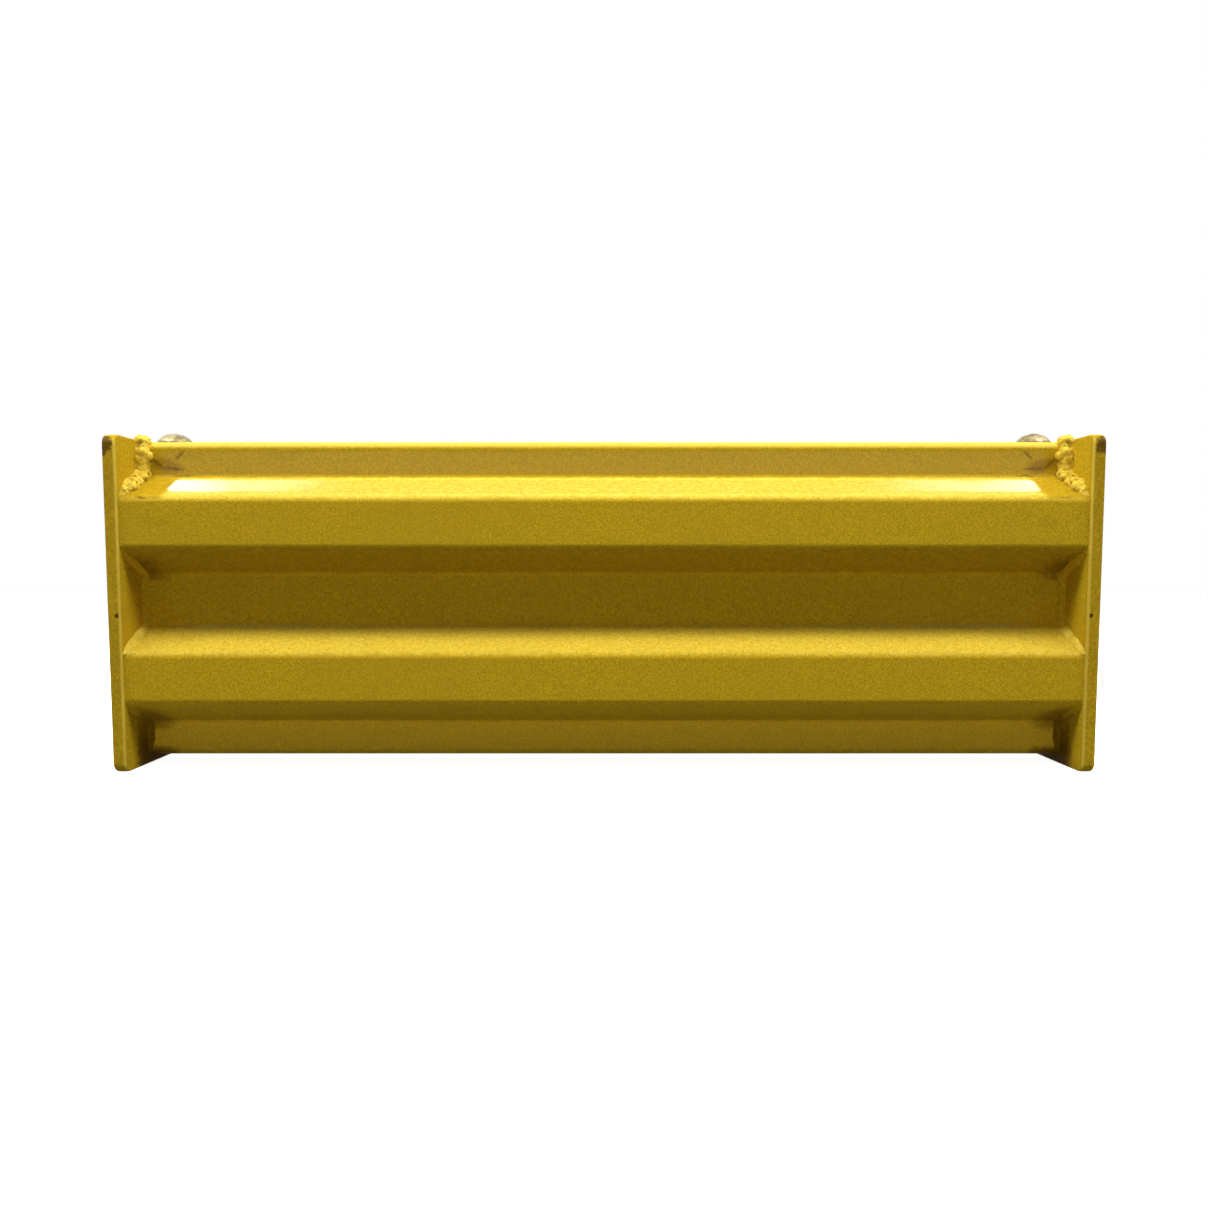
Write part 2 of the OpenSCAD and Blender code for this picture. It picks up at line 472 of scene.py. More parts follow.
def middleOf(node):
    low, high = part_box(node)
    return low, high, (low + high) / 2


def makeLeftBolt():
    low, high, middle = middleOf("left_lip_bolt")
    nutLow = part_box("left_lip_nut")[0]
    seat = railHigh.z
    domeHeight = high.z - seat - bolt["headRim"]
    domeRadius = (bolt["headRadius"] ** 2 + domeHeight ** 2) / (2 * domeHeight)
    deselectAll()
    bpy.ops.mesh.primitive_uv_sphere_add(
        segments=roundSides, ring_count=bolt["domeRings"], radius=domeRadius,
        location=(middle.x, middle.y, high.z - domeRadius),
    )
    piece = newPiece("leftLipBolt")
    settle(piece)
    cutAway(piece, Vector((0, 0, seat + bolt["headRim"])), Vector((0, 0, 1)))
    startEdit(piece, "FACE")
    pickFaces(piece, lambda face: face.normal.z < -0.9)
    bpy.ops.mesh.extrude_region_move(TRANSFORM_OT_translate={"value": (0, 0, -bolt["headRim"])})
    bpy.ops.mesh.inset(thickness=bolt["headRadius"] - bolt["shankRadius"])
    bpy.ops.mesh.extrude_region_move(TRANSFORM_OT_translate={"value": (0, 0, nutLow.z - seat)})
    turns = int((nutLow.z - low.z) / bolt["threadPitch"])
    root = 1 - bolt["threadDepth"]
    for narrow in (True, False) * turns:
        bpy.ops.mesh.extrude_region_move(TRANSFORM_OT_translate={"value": (0, 0, -bolt["threadPitch"] / 2)})
        change = root if narrow else 1 / root
        bpy.ops.transform.resize(value=(change, change, 1), center_override=(middle.x, middle.y, low.z))
    bpy.ops.mesh.extrude_region_move(
        TRANSFORM_OT_translate={"value": (0, 0, low.z - nutLow.z + turns * bolt["threadPitch"])}
    )
    endEdit()
    smoothByAngle(piece, 30)
    return piece


def boreThrough(piece, inset):
    startEdit(piece, "FACE")
    pickFaces(piece, lambda face: abs(face.normal.z) > 0.99)
    bpy.ops.mesh.inset(thickness=inset)
    bpy.ops.mesh.bridge_edge_loops()
    endEdit()


def makeLeftWasher():
    low, high, middle = middleOf("left_lip_washer")
    radius = (high.x - low.x) / 2
    deselectAll()
    bpy.ops.mesh.primitive_cylinder_add(
        vertices=roundSides, radius=radius, depth=high.z - low.z, location=middle
    )
    piece = newPiece("leftLipWasher")
    settle(piece)
    boreThrough(piece, radius - bolt["shankRadius"] - bolt["edgeRound"])
    roundEdges(piece, bolt["edgeRound"], 40)
    smoothByAngle(piece, 35)
    return piece


nut = {
    "cornerRound": 0.9,  # share of its radius at which the corners' rounding starts
    "roundingSegments": 64,
    "roundingRings": 48,
}


def makeLeftNut():
    low, high, middle = middleOf("left_lip_nut")
    radius = (high.x - low.x) / 2
    height = high.z - low.z
    deselectAll()
    bpy.ops.mesh.primitive_cylinder_add(
        vertices=6, radius=radius, depth=height, location=middle, rotation=(0, 0, math.pi / 6)
    )
    piece = newPiece("leftLipNut")
    settle(piece)
    deselectAll()
    bpy.ops.mesh.primitive_uv_sphere_add(
        segments=nut["roundingSegments"], ring_count=nut["roundingRings"],
        radius=math.hypot(radius * nut["cornerRound"], height / 2), location=middle,
    )
    rounding = newPiece("nutRounding")
    applyModifier(piece, "BOOLEAN", operation="INTERSECT", object=rounding, solver="EXACT")
    bpy.data.objects.remove(rounding)
    deselectAll()
    bpy.ops.mesh.primitive_cylinder_add(
        vertices=roundSides, radius=bolt["shankRadius"], depth=2 * height, location=middle
    )
    subtract(piece, newPiece("nutBore"))
    smoothByAngle(piece, 25)
    return piece


# Shader groups that the finishes share
def groupWith(name, inputs, outputs):
    group = bpy.data.node_groups.new(name, "ShaderNodeTree")
    for label, value in inputs.items():
        socket = group.interface.new_socket(name=label, in_out="INPUT", socket_type="NodeSocketFloat")
        socket.default_value = value
    for label in outputs:
        group.interface.new_socket(name=label, in_out="OUTPUT", socket_type="NodeSocketFloat")
    begin = group.nodes.new("NodeGroupInput")
    finish = group.nodes.new("NodeGroupOutput")
    return group, begin.outputs, finish.inputs


def feed(tree, value, socket):
    if isinstance(value, (int, float)):
        socket.default_value = value
    else:
        tree.links.new(value, socket)


def addMath(tree, operation, first, second=0.0):
    node = tree.nodes.new("ShaderNodeMath")
    node.operation = operation
    feed(tree, first, node.inputs[0])
    feed(tree, second, node.inputs[1])
    return node.outputs[0]


def addNoise(tree, vector, scale, detail, roughness=0.5):
    node = tree.nodes.new("ShaderNodeTexNoise")
    node.inputs["Detail"].default_value = detail
    node.inputs["Roughness"].default_value = roughness
    feed(tree, scale, node.inputs["Scale"])
    tree.links.new(vector, node.inputs["Vector"])
    return node.outputs["Fac"]


def addRange(tree, value, low, high, outLow=0.0, outHigh=1.0):
    node = tree.nodes.new("ShaderNodeMapRange")
    node.interpolation_type = "SMOOTHSTEP"
    feed(tree, value, node.inputs["Value"])
    feed(tree, low, node.inputs["From Min"])
    feed(tree, high, node.inputs["From Max"])
    feed(tree, outLow, node.inputs["To Min"])
    feed(tree, outHigh, node.inputs["To Max"])
    return node.outputs["Result"]


def addMix(tree, factor, first, second):
    node = tree.nodes.new("ShaderNodeMix")
    node.data_type = "RGBA"
    tree.links.new(factor, node.inputs[0])
    for value, socket in ((first, node.inputs[6]), (second, node.inputs[7])):
        if isinstance(value, tuple):
            socket.default_value = value
        else:
            tree.links.new(value, socket)
    return node.outputs[2]


def objectPlace(tree):
    return tree.nodes.new("ShaderNodeTexCoord").outputs["Object"]


def splitPlace(tree):
    split = tree.nodes.new("ShaderNodeSeparateXYZ")
    tree.links.new(objectPlace(tree), split.inputs[0])
    fromMiddle = addMath(tree, "ABSOLUTE", split.outputs["X"])
    return fromMiddle, split.outputs["Y"], split.outputs["Z"]


noiseSpan = (0.3, 0.7)  # most of what a noise gives lies between

grain = {
    "inputs": {"Grain Scale": 560.0, "Peel Scale": 300.0},
    "driftScale": 11.0,
    "driftSpan": (0.32, 0.68),
    "waveScale": 26.0,
    "waveHeight": 2.0,  # against the finer peel
}


def paintGrainGroup():
    group, given, result = groupWith("paintGrain", grain["inputs"], ("Grain", "Drift", "Height"))
    place = objectPlace(group)
    fine = addNoise(group, place, given["Grain Scale"], 2, 0.6)
    drift = addNoise(group, place, grain["driftScale"], 3, 0.55)
    peel = addNoise(group, place, given["Peel Scale"], 1)
    wave = addNoise(group, place, grain["waveScale"], 1)
    height = addMath(group, "ADD", peel, addMath(group, "MULTIPLY", wave, grain["waveHeight"]))
    group.links.new(addRange(group, fine, *noiseSpan), result["Grain"])
    group.links.new(addRange(group, drift, *grain["driftSpan"]), result["Drift"])
    group.links.new(height, result["Height"])
    return group


streak = {
    "inputs": {"Across": 0.4, "Up": 0.2, "Turn": 0.0, "Half Length": 0.01, "Half Width": 0.001},
    "wobbleScale": 240.0,
    "wobble": 0.004,
    "rim": (0.45, 1.15),
}


# A streak lying on the surface around (Across, Up), turned by Turn; Across counts from the middle both ways
def streakGroup():
    group, given, result = groupWith("streak", streak["inputs"], ("Mask",))
    across, _, up = splitPlace(group)
    wobble = addNoise(group, objectPlace(group), streak["wobbleScale"], 2)
    shift = addMath(group, "MULTIPLY", addMath(group, "SUBTRACT", wobble, 0.5), streak["wobble"])
    offAcross = addMath(group, "SUBTRACT", across, given["Across"])
    offUp = addMath(group, "ADD", addMath(group, "SUBTRACT", up, given["Up"]), shift)
    cosine = addMath(group, "COSINE", given["Turn"])
    sine = addMath(group, "SINE", given["Turn"])
    alongIt = addMath(group, "MULTIPLY", offAcross, cosine)
    alongIt = addMath(group, "ADD", alongIt, addMath(group, "MULTIPLY", offUp, sine))
    overIt = addMath(group, "MULTIPLY", offUp, cosine)
    overIt = addMath(group, "SUBTRACT", overIt, addMath(group, "MULTIPLY", offAcross, sine))
    alongIt = addMath(group, "DIVIDE", alongIt, given["Half Length"])
    overIt = addMath(group, "DIVIDE", overIt, given["Half Width"])
    far = addMath(group, "MULTIPLY", alongIt, alongIt)
    far = addMath(group, "SQRT", addMath(group, "ADD", far, addMath(group, "MULTIPLY", overIt, overIt)))
    group.links.new(addRange(group, far, *streak["rim"], 1, 0), result["Mask"])
    return group


spot = {
    "inputs": {"Across": 0.45, "Depth": 0.0, "Up": 0.1, "Radius": 0.01, "Ragged": 0.3},
    "raggedScale": 190.0,
    "raggedReach": 4.0,
    "rim": (0.8, 1.1),
}


# A ragged round spot in space, mirrored to both ends
def spotGroup():
    group, given, result = groupWith("spot", spot["inputs"], ("Mask",))
    far = 0.0
    for value, label in zip(splitPlace(group), ("Across", "Depth", "Up")):
        off = addMath(group, "SUBTRACT", value, given[label])
        far = addMath(group, "ADD", addMath(group, "MULTIPLY", off, off), far)
    far = addMath(group, "DIVIDE", addMath(group, "SQRT", far), given["Radius"])
    rough = addNoise(group, objectPlace(group), spot["raggedScale"], 4, 0.6)
    rough = addMath(group, "SUBTRACT", rough, 0.5)
    ragged = addMath(group, "MULTIPLY", given["Ragged"], spot["raggedReach"])
    far = addMath(group, "ADD", far, addMath(group, "MULTIPLY", rough, ragged))
    group.links.new(addRange(group, far, *spot["rim"], 1, 0), result["Mask"])
    return group


grime = {
    "inputs": {"Where": 0.0, "Patch Scale": 90.0, "Cover": 0.5},
    "clean": 0.95,  # noise level that dirt never passes with no cover
    "rim": 0.3,
}


# Patchy dirt, thickest where Where is one
def dirtGroup():
    group, given, result = groupWith("dirt", grime["inputs"], ("Mask",))
    patch = addNoise(group, objectPlace(group), given["Patch Scale"], 5, 0.68)
    cover = addMath(group, "MULTIPLY", given["Where"], given["Cover"])
    edge = addMath(group, "SUBTRACT", grime["clean"], cover)
    cover = addRange(group, patch, addMath(group, "SUBTRACT", edge, grime["rim"]), edge)
    group.links.new(addMath(group, "MULTIPLY", cover, given["Where"]), result["Mask"])
    return group


def colourOf(red, green, blue):
    values = []
    for value in (red / 255, green / 255, blue / 255):
        values.append(value / 12.92 if value <= 0.04045 else ((value + 0.055) / 1.055) ** 2.4)
    return (*values, 1.0)


paint = {
    "yellow": colourOf(209, 174, 33),
    "darkYellow": colourOf(172, 140, 23),
    "edgeYellow": colourOf(232, 204, 80),
    "dullYellow": colourOf(184, 149, 32),
    # painted light: a brighter yellow for the bottom flat, standing in for light bounced up from the floor
    "footPaintedLightYellow": colourOf(242, 200, 52),
    "dirt": colourOf(100, 66, 14),
    "bare": colourOf(84, 56, 20),
    "chip": colourOf(92, 48, 12),
    "drift": 0.35,
    "roughness": 0.48,
    "specular": 0.01,
    "glossRoughness": 0.09,
    "glossIor": 1.75,
    "peelStrength": 0.25,
    "peelDistance": 0.0005,
}


def newMaterial(name):
    material = bpy.data.materials.new(name)
    material.use_nodes = True
    return material, material.node_tree, material.node_tree.nodes["Principled BSDF"]


def addGroup(tree, group, **values):
    node = tree.nodes.new("ShaderNodeGroup")
    node.node_tree = group
    for label, value in values.items():
        feed(tree, value, node.inputs[label])
    return node.outputs


def paintedMetal(name):
    material, tree, shader = newMaterial(name)
    skin = addGroup(tree, groups["grain"])
    colour = addMix(tree, skin["Grain"], paint["darkYellow"], paint["yellow"])
    colour = addTint(tree, colour, skin["Drift"], paint["drift"], "dullYellow")
    bump = tree.nodes.new("ShaderNodeBump")
    bump.inputs["Strength"].default_value = paint["peelStrength"]
    bump.inputs["Distance"].default_value = paint["peelDistance"]
    tree.links.new(skin["Height"], bump.inputs["Height"])
    tree.links.new(bump.outputs["Normal"], shader.inputs["Normal"])
    shader.inputs["Roughness"].default_value = paint["roughness"]
    shader.inputs["Specular IOR Level"].default_value = paint["specular"]
    shader.inputs["Coat Roughness"].default_value = paint["glossRoughness"]
    shader.inputs["Coat IOR"].default_value = paint["glossIor"]
    return material, tree, shader, colour


# A finish drawn towards one of the paint's colours where mask is, at the given strength
def addTint(tree, colour, mask, strength, tone):
    return addMix(tree, addMath(tree, "MULTIPLY", mask, strength), colour, paint[tone])


def addDirt(tree, colour, where, dirt):
    mask = addGroup(
        tree, groups["dirt"], Where=where, Cover=dirt["cover"], **{"Patch Scale": dirt["patch"]}
    )["Mask"]
    return addTint(tree, colour, mask, dirt["strength"], dirt.get("tone", "dirt"))


# One where value lies between low and high
def addBand(tree, value, low, high, blend):
    rise = addRange(tree, value, low - blend, low + blend)
    return addMath(tree, "MULTIPLY", rise, addRange(tree, value, high - blend, high + blend, 1, 0))


# Marks on the sheet near both ends, dirt smudges and painted shade standing in for creases, pits and a fold
# line: how far from the plate and below the top, turn in degrees, half length, half width, strength
railMarksAndCreaseShade = (
    (0.0165, 0.0212, 42, 0.0080, 0.0019, 0.65),
    (0.0320, 0.0262, 4, 0.0125, 0.0016, 0.55),
    (0.0380, 0.0134, -42, 0.0070, 0.0018, 0.60),
    (0.0240, 0.0234, 12, 0.0190, 0.0075, 0.42),
    (0.0210, 0.0568, 4, 0.0055, 0.0010, 0.80),
    (0.0415, 0.0334, 0, 0.0110, 0.0012, 0.60),
    (0.0080, 0.0304, 20, 0.0050, 0.0016, 0.70),
    (0.0370, 0.0794, 10, 0.0130, 0.0050, 0.10),
)

# Tones of the sheet between two folds, and how strong they are along it and at its ends: pale dust with a
# painted sheen on what faces up, heat stain beside the upper welds, painted shade on the slope that faces
# down below the upper rib
railTones = (
    (1, 0, "edgeYellow", 0.56, 0),
    (1, 0, "darkYellow", 0, 0.8),
    (3, 2, "darkYellow", 0.90, 0.90),
    (5, 4, "edgeYellow", 0.36, 0.36),
)

# Pairs are where an effect begins and ends: end and stain count back from the plates, lip from the flats,
# edge up from the bottom lip
railWearAndPaintedLight = {
    "wave": 0.004,  # how far the borders of the tones wander
    "waveScale": 80.0,
    "patchScale": 230.0,
    "patch": (0.5, 1.5),
    "blend": 0.002,
    "speck": 0.22,
    "stain": (0.042, 0.034),
    # the foot tone is painted light on the bottom flat, the web tone painted shade on the top flat, the
    # bend tone a painted highlight on the top bend
    "footPaintedLight": 0.9,
    "webPaintedShade": 0.5,
    "bendPaintedHighlight": 0.7,
    "bendDrop": 0.007,
    "bendBlend": 0.003,
    "lip": (0.003, 0.010),
    "lipGrime": 0.9,
    "lipDirt": {"cover": 0.5, "patch": 30.0, "strength": 0.3},
    "end": (0.050, 0.006),
    "fold": (0.004, 0.024),
    "foldLift": 0.004,
    "foldDirt": {
        3: {"cover": 0.46, "patch": 240.0, "strength": 0.6},
        7: {"cover": 0.60, "patch": 240.0, "strength": 0.6},
    },
    "edge": (0.002, 0.016),
    "edgeDirt": {"cover": 0.7, "patch": 160.0, "strength": 0.85},
}
bendZ = railHigh.z - railWearAndPaintedLight["bendDrop"]
bendTop = bendZ + railWearAndPaintedLight["bendBlend"]


# Tones of the sheet: the brighter bottom flat and top bend are painted light, the darker top flat and lower
# slope of the upper rib are painted shade, and the slopes' pale tint is dust with a painted sheen
def addRailTonesAndPaintedLight(tree, colour, across, up):
    noise = addNoise(tree, objectPlace(tree), railWearAndPaintedLight["waveScale"], 3, 0.6)
    wave = addMath(tree, "MULTIPLY", addMath(tree, "SUBTRACT", noise, 0.5), railWearAndPaintedLight["wave"])
    wavyUp = addMath(tree, "ADD", up, wave)
    noise = addNoise(tree, objectPlace(tree), railWearAndPaintedLight["patchScale"], 3, 0.65)
    patchy = addRange(tree, noise, *noiseSpan, *railWearAndPaintedLight["patch"])
    blend = railWearAndPaintedLight["blend"]
    # Painted light: the bottom flat is brightened, standing in for light bounced up from the floor
    covered = addRange(tree, wavyUp, foldZ[7] - blend, foldZ[7] + blend, railWearAndPaintedLight["footPaintedLight"], 0)
    colour = addMix(tree, covered, colour, paint["footPaintedLightYellow"])
    stainBegin, stainEnd = railWearAndPaintedLight["stain"]
    for lowFold, highFold, tone, along, atEnds in railTones:
        amount = addRange(tree, across, innerX - stainBegin, innerX - stainEnd, along, atEnds)
        band = addBand(tree, wavyUp, foldZ[lowFold], foldZ[highFold], blend)
        band = addMath(tree, "MULTIPLY", addMath(tree, "MULTIPLY", band, amount), patchy)
        colour = addMix(tree, band, colour, paint[tone])
        covered = addMath(tree, "ADD", covered, band)
    # Painted shade: the top flat is darkened
    web = addMath(tree, "MULTIPLY", addBand(tree, wavyUp, foldZ[0], bendZ, blend), railWearAndPaintedLight["webPaintedShade"])
    colour = addMix(tree, web, colour, paint["darkYellow"])
    covered = addMath(tree, "ADD", covered, web)
    # Painted highlight: a pale tint on the top bend
    bend = addRange(tree, up, bendZ, bendTop, 0, railWearAndPaintedLight["bendPaintedHighlight"])
    colour = addMix(tree, bend, colour, paint["edgeYellow"])
    specks = addRange(tree, addGroup(tree, groups["grain"])["Grain"], 0, 1, railWearAndPaintedLight["speck"], 0)
    return addMix(tree, addMath(tree, "MULTIPLY", specks, covered), colour, paint["dirt"])


def addLipGrime(tree, colour, depth, up):
    lipBegin, lipEnd = railWearAndPaintedLight["lip"]
    behind = addRange(tree, depth, flatY + lipBegin, flatY + lipEnd, 0, railWearAndPaintedLight["lipGrime"])
    onLip = addMath(tree, "MULTIPLY", behind, addRange(tree, up, bendZ, bendTop))
    colour = addMix(tree, onLip, colour, paint["dullYellow"])
    return addDirt(tree, colour, onLip, railWearAndPaintedLight["lipDirt"])


# Dirt smudges, and painted shade where creases, pits and a fold line would be
def addRailMarksAndCreaseShade(tree, colour):
    for fromPlate, below, turn, length, width, strength in railMarksAndCreaseShade:
        mark = addGroup(
            tree, groups["streak"], Across=innerX - fromPlate, Up=railHigh.z - below,
            Turn=math.radians(turn), **{"Half Length": length, "Half Width": width},
        )["Mask"]
        colour = addTint(tree, colour, mark, strength, "dirt")
    return colour


def addEndDirt(tree, colour, across, up):
    endBegin, endFull = railWearAndPaintedLight["end"]
    nearEnd = addRange(tree, across, innerX - endBegin, innerX - endFull)
    for fold, dirt in railWearAndPaintedLight["foldDirt"].items():
        fromFold = addMath(tree, "SUBTRACT", up, foldZ[fold] + railWearAndPaintedLight["foldLift"])
        nearFold = addRange(tree, addMath(tree, "ABSOLUTE", fromFold), *railWearAndPaintedLight["fold"], 1, 0)
        colour = addDirt(tree, colour, addMath(tree, "MULTIPLY", nearEnd, nearFold), dirt)
    edgeBegin, edgeEnd = railWearAndPaintedLight["edge"]
    low = addRange(tree, up, railLow.z + edgeBegin, railLow.z + edgeEnd, 1, 0)
    return addDirt(tree, colour, addMath(tree, "MULTIPLY", nearEnd, low), railWearAndPaintedLight["edgeDirt"])


# Where the upper flats keep their shine: slope and top lie this far inside their folds
shine = {
    "slope": (0.0045, 0.0030),
    "slopeGloss": 1.0,
    "slopeEnd": (0.0390, 0.0360),  # counted back from the plates
    "top": (0.0040, 0.0100),
    "topGloss": 0.22,
    "blend": 0.0012,
}


# Only the front shines: the folds and the rest of the sheet have been rubbed dull
def addShine(tree, across, depth, up):
    overLow, underHigh = shine["slope"]
    slope = addBand(tree, up, foldZ[1] + overLow, foldZ[0] - underHigh, shine["blend"])
    steepness = rail["ribSlope"] / rail["ribDepth"]
    overMiddle = addMath(tree, "SUBTRACT", up, addMath(tree, "MULTIPLY", depth, steepness))
    front = addMath(tree, "GREATER_THAN", overMiddle, foldZ[0] - flatY * steepness)
    slope = addMath(tree, "MULTIPLY", slope, front)
    endBegin, endFull = shine["slopeEnd"]
    clear = addRange(tree, across, innerX - endBegin, innerX - endFull, shine["slopeGloss"], 0)
    slope = addMath(tree, "MULTIPLY", slope, clear)
    overLow, underHigh = shine["top"]
    top = addBand(tree, up, foldZ[0] + overLow, railHigh.z - underHigh, shine["blend"])
    top = addMath(tree, "MULTIPLY", top, addMath(tree, "LESS_THAN", depth, flatY))
    return addMath(tree, "ADD", slope, addMath(tree, "MULTIPLY", top, shine["topGloss"]))


def makeRailPaint():
    material, tree, shader, colour = paintedMetal("railPaint")
    across, depth, up = splitPlace(tree)
    colour = addRailTonesAndPaintedLight(tree, colour, across, up)
    colour = addLipGrime(tree, colour, depth, up)
    colour = addRailMarksAndCreaseShade(tree, colour)
    colour = addEndDirt(tree, colour, across, up)
    tree.links.new(colour, shader.inputs["Base Color"])
    tree.links.new(addShine(tree, across, depth, up), shader.inputs["Coat Weight"])
    return material


# Pairs count from the plates' inner face, front edge or foot
plateWearAndHighlight = {
    "corner": {
        "Across": outerX, "Depth": plateLow.y, "Up": plateHigh.z - 0.010, "Radius": 0.010, "Ragged": 0.35,
    },
    "cornerStrength": 0.85,
    "chip": {
        "Across": innerX + 0.003, "Depth": plateLow.y, "Up": plateHigh.z / 2 - 0.0095, "Radius": 0.0022,
        "Ragged": 0.15,
    },
    "edgeAcross": (0.0012, 0.0024),
    "edgeDepth": (0.0012, 0.0030),
    "edgeHighlightStrength": 0.7,
    "insideAcross": 0.002,
    "insideDepth": (0.010, 0.030),
    "insideUp": (0.012, 0.070),
    "insideHigh": 0.25,
    "insideDirt": {"cover": 0.6, "patch": 150.0, "strength": 0.75},
    "frontDepth": (0.002, 0.006),
    "frontDirt": {"cover": 0.42, "patch": 60.0, "strength": 0.2},
}


def makePlatePaint():
    material, tree, shader, colour = paintedMetal("platePaint")
    across, depth, up = splitPlace(tree)
    inward = addMath(tree, "SUBTRACT", across, innerX)
    fromFront = addMath(tree, "SUBTRACT", depth, plateLow.y)
    corner = addGroup(tree, groups["spot"], **plateWearAndHighlight["corner"])["Mask"]
    colour = addTint(tree, colour, corner, plateWearAndHighlight["cornerStrength"], "bare")
    chip = addGroup(tree, groups["spot"], **plateWearAndHighlight["chip"])["Mask"]
    colour = addMix(tree, chip, colour, paint["chip"])
    # Painted highlight: a paler yellow along the plate's inner front edge, where its rounding catches the
    # light
    edge = addMath(
        tree, "MULTIPLY", addRange(tree, inward, *plateWearAndHighlight["edgeAcross"], 1, 0),
        addRange(tree, fromFront, *plateWearAndHighlight["edgeDepth"], 1, 0),
    )
    colour = addTint(tree, colour, edge, plateWearAndHighlight["edgeHighlightStrength"], "edgeYellow")
    inside = addMath(
        tree, "MULTIPLY", addRange(tree, inward, plateWearAndHighlight["insideAcross"], 0),
        addRange(tree, fromFront, *plateWearAndHighlight["insideDepth"]),
    )
    low = addRange(tree, up, *plateWearAndHighlight["insideUp"], 1, plateWearAndHighlight["insideHigh"])
    colour = addDirt(tree, colour, addMath(tree, "MULTIPLY", inside, low), plateWearAndHighlight["insideDirt"])
    front = addRange(tree, fromFront, *plateWearAndHighlight["frontDepth"], 1, 0)
    colour = addDirt(tree, colour, front, plateWearAndHighlight["frontDirt"])
    tree.links.new(colour, shader.inputs["Base Color"])
    return material


weldWearAndHighlight = {
    "paleScale": 70.0,
    "pale": (0.3, 0.9),
    "blend": 0.002,
    "lowDirt": {"cover": 0.55, "patch": 170.0, "strength": 0.7},
    "highDirt": 0.08,  # share of it on the beads higher up
}


def makeWeldPaint():
    material, tree, shader, colour = paintedMetal("weldPaint")
    up = splitPlace(tree)[2]
    blend = weldWearAndHighlight["blend"]
    # Painted highlight: the beads on the upper flats and slopes are tinted paler where they face the light
    paintedHighlight = addMath(
        tree, "ADD", addRange(tree, up, foldZ[1] - blend, foldZ[1] + blend),
        addBand(tree, up, foldZ[5], foldZ[4], blend),
    )
    noise = addNoise(tree, objectPlace(tree), weldWearAndHighlight["paleScale"], 2)
    pale = addRange(tree, noise, *noiseSpan, *weldWearAndHighlight["pale"])
    colour = addMix(tree, addMath(tree, "MULTIPLY", pale, paintedHighlight), colour, paint["edgeYellow"])
    low = addRange(tree, up, foldZ[7], foldZ[6], 1, weldWearAndHighlight["highDirt"])
    colour = addDirt(tree, colour, low, weldWearAndHighlight["lowDirt"])
    tree.links.new(colour, shader.inputs["Base Color"])
    return material


zinc = {
    "pale": colourOf(172, 157, 110),
    "dull": colourOf(108, 94, 56),
    "metallic": 0.45,
    "roughness": (0.37, 0.60),
    "stainScale": 130.0,
    "stainSpan": (0.40, 0.62),
    "foot": (-0.001, 0.002),  # from the top of the lip
    "footBlend": 0.002,
    "footDarkening": {"cover": 0.7, "patch": 150.0, "strength": 1.0, "tone": "chip"},
}


def makeBoltZinc():
    material, tree, shader = newMaterial("boltZinc")
    up = splitPlace(tree)[2]
    noise = addNoise(tree, objectPlace(tree), zinc["stainScale"], 5, 0.6)
    stain = addRange(tree, noise, *zinc["stainSpan"])
    colour = addMix(tree, stain, zinc["pale"], zinc["dull"])
    # Darker in patches round the foot, where the head sits on the lip
    footLow, footHigh = zinc["foot"]
    foot = addBand(tree, up, railHigh.z + footLow, railHigh.z + footHigh, zinc["footBlend"])
    colour = addDirt(tree, colour, foot, zinc["footDarkening"])
    tree.links.new(colour, shader.inputs["Base Color"])
    tree.links.new(addRange(tree, stain, 0, 1, *zinc["roughness"]), shader.inputs["Roughness"])
    shader.inputs["Metallic"].default_value = zinc["metallic"]
    return material


print("mixing the finishes")
groups = {"grain": paintGrainGroup(), "streak": streakGroup(), "spot": spotGroup(), "dirt": dirtGroup()}
railPaint = makeRailPaint()
platePaint = makePlatePaint()
weldPaint = makeWeldPaint()
boltZinc = makeBoltZinc()


def finishPiece(piece, node, material):
    piece.data.materials.clear()
    piece.data.materials.append(material)
    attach(piece, "root")
    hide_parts(node)


def finishPair(leftPiece, rightName, node, material):
    rightPiece = mirrorCopy(leftPiece, rightName)
    finishPiece(leftPiece, "left_" + node, material)
    finishPiece(rightPiece, "right_" + node, material)


print("folding the rail")
finishPiece(makeRail(), "rail_beam", railPaint)

print("cutting the end plates")
finishPair(makeLeftPlate(), "rightPlate", "end_plate", platePaint)

print("laying the weld beads")
for weldName, bead in welds.items():
    leftBead = makeLeftBead("left_" + weldName + "_bead", bead)
    finishPair(leftBead, "right_" + weldName + "_bead", weldName, weldPaint)

print("setting the lip bolts")
finishPair(makeLeftBolt(), "rightLipBolt", "lip_bolt", boltZinc)
finishPair(makeLeftWasher(), "rightLipWasher", "lip_washer", boltZinc)
finishPair(makeLeftNut(), "rightLipNut", "lip_nut", boltZinc)

# Stage: pale floor, white surround, lamps and camera
stage = {
    "floorSize": 14.0,
    "floorColour": (0.86, 0.86, 0.85, 1.0),
    "floorBounce": (0.19, 0.19, 0.185, 1.0),
    "floorGlow": 0.93,
    "worldFill": 0.06,
}

# Soft lamps give no highlight, glints are seen only as highlights
lamps = {
    "overheadLamp": {
        "place": (0, -0.63, 2.0), "aim": (0, 0, 0.16), "size": (2.4, 0.62), "power": 45, "kind": "soft",
    },
    "topLamp": {
        "place": (0, 0.11, 2.0), "aim": (0, 0.02, 0.3), "size": (2.2, 0.3), "power": 20, "kind": "soft",
    },
    "rearLamp": {
        "place": (0, 2.2, 0.9), "aim": (0, 0, 0.15), "size": (1.6, 0.8), "power": 16, "kind": "soft",
    },
    "frontLamp": {
        "place": (0, -2.2, 0.45), "aim": (0, 0, 0.15), "size": (1.6, 0.5), "power": 5.5, "kind": "soft",
    },
}

